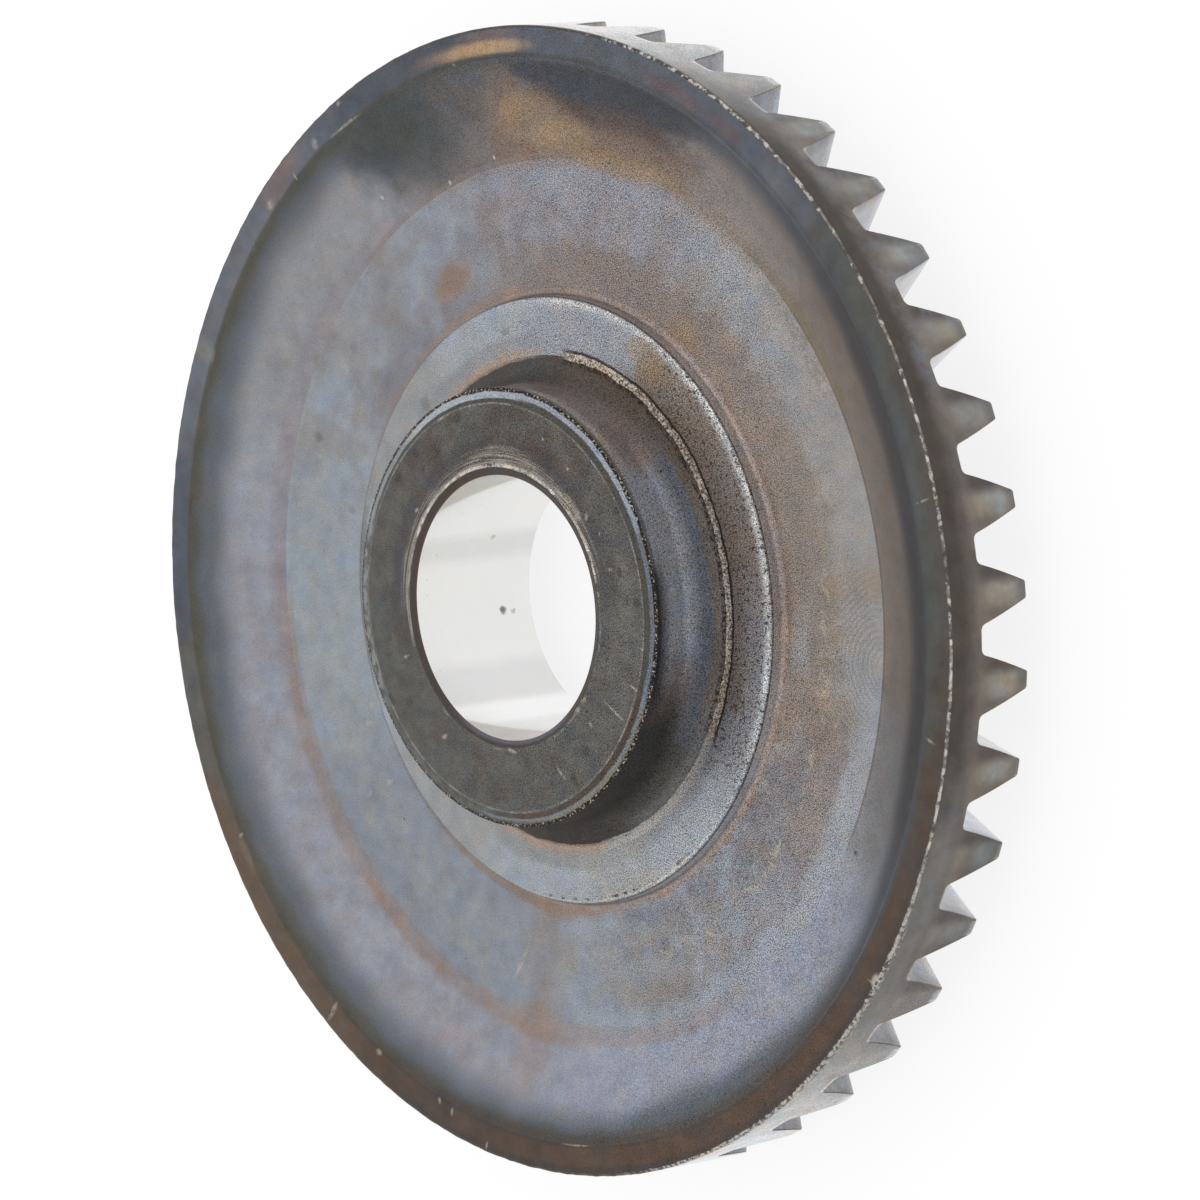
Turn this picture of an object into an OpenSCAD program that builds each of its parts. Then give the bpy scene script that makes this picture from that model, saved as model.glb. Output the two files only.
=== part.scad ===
// Straight bevel gear: one forged and turned steel piece with a dished back, a raised hub and a ground bore.
// It lies on its toothed side, with the bore along +Z. All sizes are in millimetres.

/* [Teeth] */
// Number of teeth
tooth_count = 42; // [38:1:50]
// Number of teeth on the pinion that it runs with, which sets the cone angle
pinion_count = 13; // [10:1:17]
// Module at the outer ends of the teeth
tooth_module = 1.5; // [1.35:0.05:1.75]
// Length of a tooth along the pitch cone
face_w = 9.8; // [7:0.1:10.6]
// Height of a tooth beyond the pitch cone, along the axis at its outer end
addendum = 1.52; // [1:0.02:1.9]
// Depth of a tooth behind the pitch cone, along the axis at its outer end
dedendum = 1.87; // [1.4:0.01:2.3]
// Pressure angle of the flanks in degrees
pressure_angle = 20; // [14.5:0.5:24]
// How much thinner a tooth is than half the pitch
tooth_thinning = 0.32; // [0:0.02:0.5]
// Radius of the fillets along the tooth roots
root_fillet = 0.35; // [0.1:0.05:0.5]
// Radius of the rounding along the tooth tips
tip_round = 0.2; // [0.05:0.05:0.3]

/* [Rim and web] */
// Thickness of the rim behind the tooth roots
rim_t = 2.33; // [1.8:0.01:3.2]
// Width of the flat land round the back of the rim
land_w = 1.75; // [1:0.05:2.6]
// Bevel that breaks the back edge of the rim
rim_bevel = 0.15; // [0.05:0.05:0.5]
// Depth of the web below the rim land
web_depth = 2.5; // [1.6:0.05:3.2]
// Thickness of the web
web_t = 3.65; // [2.6:0.05:5]
// Diameter of the flat part of the web
web_d = 48.3; // [40:0.1:54]
// Radius of the hollow that rises from the web to the rim land
hollow_r = 14.7; // [8:0.1:30]

/* [Hub and bore] */
// Diameter of the bore
bore_d = 14.5; // [10:0.1:17]
// Width of the bevel at both ends of the bore
bore_bevel_w = 0.35; // [0.1:0.05:0.8]
// Height of the bevel at both ends of the bore
bore_bevel_h = 0.15; // [0.1:0.05:0.6]
// Diameter of the hub
hub_d = 24; // [21:0.1:27]
// Height of the hub above the rim land
hub_h = 2.5; // [1:0.1:5]
// Width of the bevel round the hub's face
hub_bevel_w = 0.78; // [0.2:0.02:1.2]
// Height of the bevel round the hub's face
hub_bevel_h = 0.28; // [0.1:0.02:0.6]
// Radius of the fillet at the foot of the hub
hub_fillet = 1.5; // [0.5:0.1:2.1]
// Diameter of the raised ring round the hub
step_d = 33.4; // [30:0.1:39]
// Height of the raised ring above the web
step_h = 0.98; // [0.8:0.02:1.8]
// Radius of the ring's outer edge
step_round = 0.25; // [0.05:0.05:0.35]
// Radius of the fillet at the foot of the ring
step_fillet = 0.4; // [0.1:0.05:0.45]

/* [Hidden] */
$fn = 96;

// Steps along each flank, root fillet and tip rounding of a tooth gap
flank_steps = 4;
fillet_steps = 3;
tip_steps = 2;
// Slope at which the rounding of a tip ends, in degrees from the axis
tip_turn = 60;
// How far a cut reaches past the surface that it opens
overcut = 0.4;

// Radii, from the bore outwards
hub_r = hub_d / 2;
step_r = step_d / 2;
web_r = web_d / 2;
outer_r = tooth_module * tooth_count / 2;
land_r = outer_r - land_w;

// Heights from the rim land, which is at 0 until the gear is set down on its teeth
step_z = step_h - web_depth;
front_z = -web_depth - web_t;
root_z = -rim_t;
pitch_z = root_z - dedendum;
tip_z = pitch_z - addendum;

// Pitch, root and tip cones share one apex on the axis, in front of the teeth
cone_slope = pinion_count / tooth_count;
cone_angle = atan(1 / cone_slope);
apex_z = pitch_z - outer_r * cone_slope;
tip_slope = (tip_z - apex_z) / outer_r;
root_slope = (root_z - apex_z) / outer_r;

// Inner ends of the teeth lie square to the pitch cone
toe_r = outer_r - face_w * sin(cone_angle);
toe_tip_r = toe_r * (cone_slope + 1 / cone_slope) / (tip_slope + 1 / cone_slope);
toe_tip_z = apex_z + toe_tip_r * tip_slope;
toe_foot_r = toe_r + (apex_z + toe_r * cone_slope - front_z) * cone_slope;
rest_z = min(toe_tip_z, front_z);

// Flanks are involutes of the spur gear that unrolls from the back cone
pitch = PI * tooth_module;
spur_r = outer_r / cos(cone_angle);
base_r = spur_r * cos(pressure_angle);
half_tooth_angle = (pitch / 2 - tooth_thinning) / 2 / spur_r * 180 / PI;
root_flank_angle = acos(base_r / (spur_r - dedendum));

// A gap runs inwards until its floor has come out of the front face or of the teeth
gap_inner_r = min((front_z - apex_z) / root_slope, toe_foot_r) - overcut;
gap_outer_r = outer_r + overcut;

function involute(angle) = tan(angle) * 180 / PI - angle;

// Half the width of a gap at a height beyond the pitch cone
function half_gap(h) =
    let (
        r = spur_r + h,
        flank_angle = acos(base_r / r),
        tooth_angle = half_tooth_angle + involute(pressure_angle) - involute(flank_angle)
    )
    pitch / 2 - r * tooth_angle * PI / 180;

// One side of a gap's outline at the outer end, with heights counted from the apex
gap_floor_y = root_z - apex_z;
fillet_reach = root_fillet / tan((90 + root_flank_angle) / 2);
fillet_x = half_gap(-dedendum) - fillet_reach;
fillet_side = [
    for (i = [0 : fillet_steps])
        let (angle = 90 + (root_flank_angle - 90) * i / fillet_steps)
        [fillet_x + root_fillet * cos(angle), gap_floor_y + root_fillet * (sin(angle) - 1)]
];
flank_start = fillet_reach * cos(root_flank_angle) - dedendum;
tip_flank_angle = acos(base_r / (spur_r + addendum - tip_round));
flank_end = addendum - tip_round * (1 - sin(tip_flank_angle));
flank_side = [
    for (i = [1 : flank_steps])
        let (h = flank_start + (flank_end - flank_start) * i / flank_steps)
        [half_gap(h), pitch_z - h - apex_z]
];
tip_x = half_gap(flank_end) + tip_round * cos(tip_flank_angle);
tip_y = tip_z - apex_z;
tip_side = [
    for (i = [1 : tip_steps])
        let (angle = tip_flank_angle + (tip_turn - tip_flank_angle) * i / tip_steps)
        [tip_x - tip_round * cos(angle), tip_y + tip_round * (1 - sin(angle))]
];
gap_mouth = [tip_x + tip_round * (tan(tip_turn) - cos(tip_turn)), tip_y - tip_round * sin(tip_turn)];
gap_side = concat(fillet_side, flank_side, tip_side, [gap_mouth]);
gap_outline = concat(gap_side, [for (i = [len(gap_side) - 1 : -1 : 0]) [-gap_side[i].x, gap_side[i].y]]);

// Material that rounds an inner corner at the origin, between +X and +Y
module corner_fill(radius) {
    difference() {
        square(radius);
        translate([radius, radius]) circle(radius);
    }
}

// Circle of the hollow, through the web's edge and the land's edge
module hollow_circle() {
    chord = [land_r - web_r, web_depth];
    half_chord = norm(chord) / 2;
    rise = sqrt(hollow_r * hollow_r - half_chord * half_chord);
    tilt = atan2(chord.y, chord.x);
    translate([(land_r + web_r) / 2 - rise * sin(tilt), rise * cos(tilt) - web_depth / 2])
        circle(hollow_r, $fn = 360);
}

// Half section of the blank, from the axis outwards
module blank_section() {
    difference() {
        union() {
            polygon([
                [0, front_z],
                [toe_foot_r, front_z],
                [toe_tip_r, toe_tip_z],
                [outer_r, tip_z],
                [outer_r, -rim_bevel],
                [outer_r - rim_bevel, 0],
                [land_r, 0],
                [web_r, -web_depth],
                [step_r, -web_depth],
                [step_r, step_z],
                [hub_r, step_z],
                [hub_r, hub_h - hub_bevel_h],
                [hub_r - hub_bevel_w, hub_h],
                [0, hub_h]
            ]);
            translate([hub_r, step_z]) corner_fill(hub_fillet);
            translate([step_r, -web_depth]) corner_fill(step_fillet);
        }
        translate([step_r, step_z]) rotate(180) corner_fill(step_round);
        intersection() {
            hollow_circle();
            translate([web_r, -web_depth]) square([land_r - web_r, web_depth]);
        }
    }
}

// Bore with a bevel at each end
module bore_cut() {
    bore_r = bore_d / 2;
    bevel_h = bore_bevel_h + overcut;
    wide_r = bore_r + bore_bevel_w * bevel_h / bore_bevel_h;
    translate([0, 0, front_z - overcut])
        cylinder(h = hub_h - front_z + 2 * overcut, r = bore_r);
    translate([0, 0, hub_h - bore_bevel_h])
        cylinder(h = bevel_h, r1 = bore_r, r2 = wide_r);
    translate([0, 0, front_z - overcut])
        cylinder(h = bevel_h, r1 = wide_r, r2 = bore_r);
}

// Gap between two teeth, narrowing towards the apex
module tooth_gap() {
    translate([0, 0, apex_z])
        rotate([90, 0, 90])
            translate([0, 0, gap_inner_r])
                linear_extrude(height = gap_outer_r - gap_inner_r, scale = gap_outer_r / gap_inner_r)
                    scale(gap_inner_r / outer_r)
                        polygon(gap_outline);
}

module bevel_gear() {
    color("#7b8390")
        translate([0, 0, -rest_z])
            difference() {
                rotate_extrude() blank_section();
                bore_cut();
                for (i = [0 : tooth_count - 1])
                    rotate(360 * (i + 0.5) / tooth_count) tooth_gap();
            }
}

bevel_gear();
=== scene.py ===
import math

import bpy
import numpy as np
from mathutils import Matrix, Vector, noise


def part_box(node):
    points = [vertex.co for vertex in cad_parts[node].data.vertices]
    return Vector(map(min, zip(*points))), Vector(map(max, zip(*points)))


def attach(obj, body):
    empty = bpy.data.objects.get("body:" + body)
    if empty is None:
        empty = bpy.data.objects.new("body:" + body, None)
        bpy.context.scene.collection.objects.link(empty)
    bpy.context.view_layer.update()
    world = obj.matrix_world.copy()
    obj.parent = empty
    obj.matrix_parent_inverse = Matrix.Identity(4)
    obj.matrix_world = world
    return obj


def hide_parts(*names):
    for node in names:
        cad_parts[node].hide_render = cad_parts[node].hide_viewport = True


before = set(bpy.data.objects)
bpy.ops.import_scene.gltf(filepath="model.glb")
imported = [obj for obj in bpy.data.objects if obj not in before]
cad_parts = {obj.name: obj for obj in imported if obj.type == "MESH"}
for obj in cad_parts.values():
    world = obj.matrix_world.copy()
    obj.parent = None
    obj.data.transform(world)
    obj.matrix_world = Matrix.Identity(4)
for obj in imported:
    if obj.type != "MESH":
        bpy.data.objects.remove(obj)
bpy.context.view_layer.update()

# The blank is one steel forging. Its back is turned into a rim land, a dished hollow, a flat web, a raised
# ring and a hub, and a ground bore runs through it. Radii and heights are in millimetres, and heights are
# counted from the rim land until the mesh is made.
MM = 0.001
box_low, box_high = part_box("bevel_gear")
outer_r = (box_high[0] - box_low[0]) / 2 / MM
hub_h = 2.5
land_lift = (box_high[2] - box_low[2]) / MM - hub_h

bore_r = 7.25
bore_bevel_w = 0.35
bore_bevel_h = 0.15
hub_r = 12.0
hub_bevel_w = 0.78
hub_bevel_h = 0.28
hub_fillet = 1.5
step_r = 16.7
step_h = 0.98
step_round = 0.25
step_fillet = 0.4
web_r = 24.15
web_depth = 2.5
web_t = 3.65
hollow_r = 14.7
land_w = 1.75
rim_bevel = 0.15
land_r = outer_r - land_w
step_z = step_h - web_depth
front_z = -web_depth - web_t
plain_front_r = 20.0


def straight(start, end, steps):
    """Points from start to end, without start."""
    t = np.linspace(0, 1, steps + 1)[1:, None]
    return np.array(start) * (1 - t) + np.array(end) * t


def arc(centre, radius, start_deg, end_deg, steps):
    """Points along an arc, without its first."""
    a = np.radians(np.linspace(start_deg, end_deg, steps + 1)[1:])
    return np.stack([centre[0] + radius * np.cos(a), centre[1] + radius * np.sin(a)], axis=1)


chord = np.array([land_r - web_r, web_depth])
chord_tilt = math.atan2(chord[1], chord[0])
hollow_rise = math.sqrt(hollow_r**2 - (chord @ chord) / 4)
hollow_centre = (
    (land_r + web_r) / 2 - hollow_rise * math.sin(chord_tilt),
    hollow_rise * math.cos(chord_tilt) - web_depth / 2,
)
hollow_half_turn = math.degrees(math.asin(math.hypot(*chord) / 2 / hollow_r))
hollow_start = math.degrees(chord_tilt) - 90 - hollow_half_turn
hollow_end = math.degrees(chord_tilt) - 90 + hollow_half_turn

hub_corner = (hub_r, hub_h - hub_bevel_h)
hub_rim = (hub_r - hub_bevel_w, hub_h)
wide_bore_r = bore_r + bore_bevel_w
ring_corner = (step_r - step_round, step_z - step_round)
ring_foot = (step_r + step_fillet, step_fillet - web_depth)
hub_foot = (hub_r + hub_fillet, step_z + hub_fillet)

# Rows of the turned surfaces, from the plain front through the bore and out over the back to the land.
turned = [
    ("front", np.array([(plain_front_r, front_z)])),
    ("front", straight((plain_front_r, front_z), (wide_bore_r, front_z), 7)),
    ("bevel", straight((wide_bore_r, front_z), (bore_r, front_z + bore_bevel_h), 2)),
    ("bore", straight((bore_r, front_z + bore_bevel_h), (bore_r, hub_h - bore_bevel_h), 10)),
    ("bevel", straight((bore_r, hub_h - bore_bevel_h), (wide_bore_r, hub_h), 3)),
    ("hub_face", straight((wide_bore_r, hub_h), hub_rim, 12)),
    ("hub_edge", straight(hub_rim, hub_corner, 4)),
    ("hub_side", straight(hub_corner, (hub_r, hub_foot[1]), 7)),
    ("hub_side", arc(hub_foot, hub_fillet, 180, 270, 8)),
    ("ring", straight((hub_foot[0], step_z), (ring_corner[0], step_z), 9)),
    ("ring", arc(ring_corner, step_round, 90, 0, 4)),
    ("ring_wall", straight((step_r, ring_corner[1]), (step_r, ring_foot[1]), 2)),
    ("ring_wall", arc(ring_foot, step_fillet, 180, 270, 4)),
    ("web", straight((ring_foot[0], -web_depth), (web_r, -web_depth), 18)),
    ("hollow", arc(hollow_centre, hollow_r, hollow_start, hollow_end, 18)),
]

# The teeth are straight and narrow towards one apex on the axis. Their flanks are involutes of the spur
# gear that unrolls from the back cone, with filleted roots and slightly rounded tips.
tooth_count = 42
pinion_count = 13
addendum = 1.52
dedendum = 1.87
pressure_angle = math.radians(20)
tooth_thinning = 0.32
root_fillet = 0.35
tip_round = 0.2
face_w = 9.8
rim_t = 2.33
edge_break = 0.07

pitch = 2 * math.pi * outer_r / tooth_count
cone_slope = pinion_count / tooth_count
cone_angle = math.atan(1 / cone_slope)
pitch_z = -rim_t - dedendum
apex_z = pitch_z - outer_r * cone_slope
tip_slope = (pitch_z - addendum - apex_z) / outer_r
toe_r = outer_r - face_w * math.sin(cone_angle)
toe_tip_r = toe_r * (cone_slope + 1 / cone_slope) / (tip_slope + 1 / cone_slope)
toe_tip_z = apex_z + toe_tip_r * tip_slope
toe_foot_r = toe_r + (apex_z + toe_r * cone_slope - front_z) * cone_slope
toe_lean = (toe_tip_r - toe_foot_r) / (front_z - toe_tip_z)
spur_r = outer_r / math.cos(cone_angle)
base_r = spur_r * math.cos(pressure_angle)


def half_gap(h):
    """Half the width of a gap at a height beyond the pitch cone, at the outer end."""
    flank_angle = math.acos(base_r / (spur_r + h))
    involute = math.tan(pressure_angle) - pressure_angle - math.tan(flank_angle) + flank_angle
    half_tooth = (pitch / 2 - tooth_thinning) / 2 / spur_r + involute
    return pitch / 2 - (spur_r + h) * half_tooth


def gap_side():
    """One side of a gap from its middle to the middle of the tooth, as width and height from the apex."""
    root_angle = math.acos(base_r / (spur_r - dedendum))
    reach = root_fillet / math.tan((math.pi / 2 + root_angle) / 2)
    floor_y = -rim_t - apex_z
    fillet_centre = (half_gap(-dedendum) - reach, floor_y - root_fillet)
    points = [(0, floor_y), (fillet_centre[0], floor_y)]
    points += list(map(tuple, arc(fillet_centre, root_fillet, 90, math.degrees(root_angle), 3)))
    tip_angle = math.acos(base_r / (spur_r + addendum - tip_round))
    flank_end = addendum - tip_round * (1 - math.sin(tip_angle))
    heights = np.linspace(reach * math.cos(root_angle) - dedendum, flank_end, 5)[1:]
    points += [(half_gap(h), pitch_z - h - apex_z) for h in heights]
    tip_y = pitch_z - addendum - apex_z
    tip_centre = (half_gap(flank_end) + tip_round * math.cos(tip_angle), tip_y + tip_round)
    points += list(map(tuple, arc(tip_centre, tip_round, 180 + math.degrees(tip_angle), 270, 3)))
    points.append((pitch / 2, tip_y))
    return points


side = gap_side()
side_angle = np.array([math.atan(x / outer_r) for x, y in side])
side_slope = np.maximum(np.array([y / outer_r for x, y in side]) * np.cos(side_angle), tip_slope)
half_pitch_angle = math.pi / tooth_count
pitch_angles = np.concatenate([side_angle - half_pitch_angle, half_pitch_angle - side_angle[-2:0:-1]])
pitch_slopes = np.concatenate([side_slope, side_slope[-2:0:-1]])
angles = np.concatenate([pitch_angles + 2 * math.pi * k / tooth_count for k in range(tooth_count)])
slopes = np.tile(pitch_slopes, tooth_count)
columns = len(angles)

# Where each column's tooth line leaves the gear, on the toe cone or on the front face.
end_r = (toe_foot_r + (front_z - apex_z) * toe_lean) / (1 + slopes * toe_lean)
end_z = apex_z + slopes * end_r
on_front = end_z > front_z
end_r = np.where(on_front, (front_z - apex_z) / slopes, end_r)
end_z = np.where(on_front, front_z, end_z)
foot_r = np.where(on_front, end_r * 0.7 + plain_front_r * 0.3, toe_foot_r)
heel_z = apex_z + slopes * outer_r


def rough(amount, reach, seed):
    """A jagged offset for each column, with features about reach millimetres long."""
    spots = [Vector((outer_r * math.cos(a) / reach, outer_r * math.sin(a) / reach, seed)) for a in angles]
    return amount * np.array([noise.noise(p) + 0.5 * noise.noise(p * 2.7) for p in spots])


def ring(r, z):
    """One row of points round the axis, for the toothed columns."""
    return np.stack([r * np.cos(angles), r * np.sin(angles), np.broadcast_to(z, (columns,))], axis=1)


# The rim's back edge is a little uneven all round, and has been knocked over one stretch.
knock_angle = -80
knock_reach = 16
from_knock = (np.degrees(angles) + 180) % 360 - 180 - knock_angle
knocked = np.exp(-((from_knock / knock_reach) ** 2))
small_dents = rough(0.02, 0.8, 3.0)
deep_dents = rough(0.1, 0.5, 7.0) - 0.03
edge_dent = np.minimum(small_dents + knocked * deep_dents, 0.01)
land_rows = (land_r + 0.25, land_r + 0.7, land_r + 1.2, outer_r - rim_bevel - 0.12)
heel_inset = 0.004
toothed = []
for r in land_rows:
    toothed.append(("land", ring(r, 0.0)))
toothed.append(("land", ring(outer_r - rim_bevel + edge_dent, 0.4 * edge_dent)))
toothed.append(("rim_edge", ring(outer_r - 0.3 * rim_bevel + edge_dent, -0.3 * rim_bevel + edge_dent)))
toothed.append(("rim_edge", ring(outer_r + 0.5 * edge_dent - 0.01, -rim_bevel + 0.5 * edge_dent)))
heel_top = -rim_bevel - 0.15
for share in np.linspace(0, 1, 9):
    z = heel_top + (heel_z + edge_break - heel_top) * share
    toothed.append(("heel", ring(outer_r - heel_inset, z)))
for share in np.linspace(0, 1, 12):
    r = outer_r - edge_break + (end_r - outer_r + edge_break) * share
    toothed.append(("teeth" if share else "heel", ring(r, apex_z + slopes * r)))
for share in np.linspace(0, 1, 5)[1:]:
    r = end_r + (foot_r - end_r) * share
    toothed.append(("front", ring(r, end_z + (front_z - end_z) * share)))
for share in (0.35, 0.7):
    toothed.append(("front", ring(foot_r + (plain_front_r - foot_r) * share, front_z)))

# Both sets of rows become one closed mesh: the turned rows have half as many columns, and a ring of
# triangles joins them at each side.
turned_angles = angles[::2]
turned_columns = len(turned_angles)
rows = list(toothed)
for zone, points in turned:
    for r, z in points:
        circle = np.stack(
            [r * np.cos(turned_angles), r * np.sin(turned_angles), np.full(turned_columns, z)], axis=1
        )
        rows.append((zone, circle))

starts = np.cumsum([0] + [len(points) for zone, points in rows])
vertices = np.concatenate([points for zone, points in rows])
vertices[:, 2] += land_lift
zones = list(dict.fromkeys(zone for zone, points in rows))
faces = []
face_zones = []
for j, (zone, points) in enumerate(rows):
    next_zone, next_points = rows[(j + 1) % len(rows)]
    here, there = starts[j], starts[(j + 1) % len(rows)]
    n, m = len(points), len(next_points)
    if n == m:
        for c in range(n):
            d = (c + 1) % n
            faces.append((here + c, there + c, there + d, here + d))
    elif n > m:
        for c in range(m):
            d = (c + 1) % m
            a, b, e = here + 2 * c, here + 2 * c + 1, here + (2 * c + 2) % n
            faces += [(a, there + c, b), (b, there + c, there + d), (b, there + d, e)]
    else:
        for c in range(n):
            d = (c + 1) % n
            a, b, e = there + 2 * c, there + 2 * c + 1, there + (2 * c + 2) % m
            faces += [(here + c, a, b), (here + c, b, here + d), (here + d, b, e)]
    face_zones += [zones.index(next_zone)] * (len(faces) - len(face_zones))

sharp_angle = 48
mesh = bpy.data.meshes.new("gear_body")
mesh.from_pydata((vertices * MM).tolist(), [], [tuple(int(i) for i in f) for f in faces])
mesh.polygons.foreach_set("use_smooth", [True] * len(faces))
mesh.polygons.foreach_set("material_index", face_zones)
mesh.set_sharp_from_angle(angle=math.radians(sharp_angle))
gear = bpy.data.objects.new("gear_body", mesh)
bpy.context.scene.collection.objects.link(gear)
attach(gear, "root")
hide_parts("bevel_gear")

# The steel is heat tinted: straw, brown, blue and lavender oxide over shot-blasted metal. These helpers
# add shader nodes, and each node group below is one effect that several finishes share.
FLOAT = "NodeSocketFloat"
VECTOR = "NodeSocketVector"


def tone(red, green, blue):
    """A colour given as it shows on a screen, as linear light."""
    return tuple(((v / 255 + 0.055) / 1.055) ** 2.4 for v in (red, green, blue))


def put(tree, socket, value):
    """Links an output to a socket, or sets the socket's own value."""
    if isinstance(value, bpy.types.NodeSocket):
        tree.links.new(value, socket)
    elif socket.type == "RGBA":
        socket.default_value = (*value, 1.0)
    else:
        socket.default_value = value


def add(tree, kind, values=None, **settings):
    """Adds a node and fills its inputs."""
    node = tree.nodes.new(kind)
    for name, setting in settings.items():
        setattr(node, name, setting)
    for key, value in (values or {}).items():
        put(tree, node.inputs[key], value)
    return node


def use(tree, group, values=None):
    """Outputs of a group, with its inputs filled."""
    return add(tree, "ShaderNodeGroup", values, node_tree=group).outputs


def calc(tree, operation, *values):
    """One step of arithmetic."""
    return add(tree, "ShaderNodeMath", dict(enumerate(values)), operation=operation).outputs[0]


def rise(tree, value, low, high, to_low=0.0, to_high=1.0):
    """A soft step from to_low at low to to_high at high."""
    values = {"Value": value, "From Min": low, "From Max": high, "To Min": to_low, "To Max": to_high}
    return add(tree, "ShaderNodeMapRange", values, interpolation_type="SMOOTHSTEP").outputs["Result"]


def effect(name, inputs, outputs):
    """An empty node group, with its input and output nodes."""
    tree = bpy.data.node_groups.new(name, "ShaderNodeTree")
    for label in inputs:
        tree.interface.new_socket(label, in_out="INPUT", socket_type=FLOAT)
    for label, kind in outputs.items():
        tree.interface.new_socket(label, in_out="OUTPUT", socket_type=kind)
    return tree, tree.nodes.new("NodeGroupInput").outputs, tree.nodes.new("NodeGroupOutput").inputs


def cloud(tree, point, size, detail=3.0):
    """Plain noise with features of about the given size in millimetres."""
    scale = calc(tree, "DIVIDE", 1.0, size)
    values = {"Vector": point, "Scale": scale, "Detail": detail, "Roughness": 0.6}
    return add(tree, "ShaderNodeTexNoise", values).outputs["Fac"]


def jagged(tree, value, point, size, amount):
    """A value made uneven by noise."""
    swing = calc(tree, "SUBTRACT", cloud(tree, point, size, 5.0), 0.5)
    return calc(tree, "MULTIPLY_ADD", swing, amount, value)


def moved(tree, point, seed):
    """A point moved far enough for other noise."""
    return add(tree, "ShaderNodeVectorMath", {0: point, 1: seed}, operation="ADD").outputs[0]


# Where a point lies on the gear, in millimetres and degrees.
place, _, out = effect("gear_place", [], {"Radius": FLOAT, "Angle": FLOAT, "Height": FLOAT, "Point": VECTOR})
values = {0: add(place, "ShaderNodeTexCoord").outputs["Object"], "Scale": 1 / MM}
spot = add(place, "ShaderNodeVectorMath", values, operation="SCALE").outputs[0]
x, y, z = add(place, "ShaderNodeSeparateXYZ", {0: spot}).outputs
squares = calc(place, "MULTIPLY_ADD", x, x, calc(place, "MULTIPLY", y, y))
put(place, out["Radius"], calc(place, "SQRT", squares))
put(place, out["Angle"], calc(place, "DEGREES", calc(place, "ARCTAN2", y, x)))
put(place, out["Height"], calc(place, "SUBTRACT", z, land_lift))
put(place, out["Point"], spot)


def polar_offset(tree, here, given):
    """How far a point is from a given place, along the turning direction and across it."""
    off = calc(tree, "WRAP", calc(tree, "SUBTRACT", here["Angle"], given["Angle"]), 180.0, -180.0)
    along = calc(tree, "MULTIPLY", calc(tree, "RADIANS", off), given["Radius"])
    return along, calc(tree, "SUBTRACT", here["Radius"], given["Radius"])


# A share of the way round, faded at both ends.
tree, given, out = effect("sector", ["Middle", "Half", "Fade", "Ragged"], {"Mask": FLOAT})
here = use(tree, place)
off = calc(tree, "SUBTRACT", here["Angle"], given["Middle"])
off = calc(tree, "ABSOLUTE", calc(tree, "WRAP", off, 180.0, -180.0))
off = jagged(tree, off, here["Point"], 2.5, given["Ragged"])
end = calc(tree, "ADD", given["Half"], given["Fade"])
put(tree, out["Mask"], rise(tree, off, given["Half"], end, 1.0, 0.0))
sector_group = tree


def sector(middle, half, fade=14.0, ragged=18.0):
    """A share of the way round; its middle, half and fade are in degrees."""
    return sector_group, {"Middle": middle, "Half": half, "Fade": fade, "Ragged": ragged}


# A ring between two radii, faded at both sides.
tree, given, out = effect("band", ["Inner", "Outer", "Fade", "Ragged"], {"Mask": FLOAT})
here = use(tree, place)
across = jagged(tree, here["Radius"], here["Point"], 1.2, given["Ragged"])
inside = rise(tree, across, calc(tree, "SUBTRACT", given["Inner"], given["Fade"]), given["Inner"])
end = calc(tree, "ADD", given["Outer"], given["Fade"])
outside = rise(tree, across, given["Outer"], end, 1.0, 0.0)
put(tree, out["Mask"], calc(tree, "MULTIPLY", inside, outside))
band_group = tree


def band(inner, outer, fade=0.3, ragged=0.3):
    """A ring between two radii in millimetres."""
    return band_group, {"Inner": inner, "Outer": outer, "Fade": fade, "Ragged": ragged}


# A soft stain at one place, with its reach along the turning direction and across it.
tree, given, out = effect("stain", ["Angle", "Radius", "Length", "Width", "Ragged"], {"Mask": FLOAT})
here = use(tree, place)
along, across = polar_offset(tree, here, given)
along = calc(tree, "POWER", calc(tree, "DIVIDE", along, given["Length"]), 2.0)
across = calc(tree, "POWER", calc(tree, "DIVIDE", across, given["Width"]), 2.0)
reach = calc(tree, "SQRT", calc(tree, "ADD", along, across))
reach = jagged(tree, reach, here["Point"], 1.8, given["Ragged"])
put(tree, out["Mask"], rise(tree, reach, 0.5, 1.5, 1.0, 0.0))
stain_group = tree


def stain(angle, radius, length, width, ragged=0.9):
    """A soft stain at an angle and a radius."""
    return stain_group, {"Angle": angle, "Radius": radius, "Length": length, "Width": width, "Ragged": ragged}


# A straight scratch or nick, thinner at its ends; Turn is its direction from the radius, in degrees.
tree, given, out = effect("scratch", ["Angle", "Radius", "Length", "Width", "Turn"], {"Mask": FLOAT})
here = use(tree, place)
along, across = polar_offset(tree, here, given)
turn_angle = calc(tree, "RADIANS", given["Turn"])
cosine = calc(tree, "COSINE", turn_angle)
sine = calc(tree, "SINE", turn_angle)
lengthways = calc(tree, "MULTIPLY_ADD", across, cosine, calc(tree, "MULTIPLY", along, sine))
sideways = calc(tree, "MULTIPLY", across, sine)
sideways = calc(tree, "SUBTRACT", calc(tree, "MULTIPLY", along, cosine), sideways)
sideways = calc(tree, "ABSOLUTE", jagged(tree, sideways, here["Point"], 0.5, given["Width"]))
sideways = calc(tree, "DIVIDE", sideways, given["Width"])
lengthways = calc(tree, "DIVIDE", calc(tree, "MULTIPLY", lengthways, 2.0), given["Length"])
reach = calc(tree, "MULTIPLY", sideways, sideways)
reach = calc(tree, "SQRT", calc(tree, "MULTIPLY_ADD", lengthways, lengthways, reach))
line = rise(tree, reach, 0.2, 0.9, 1.0, 0.0)
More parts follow.
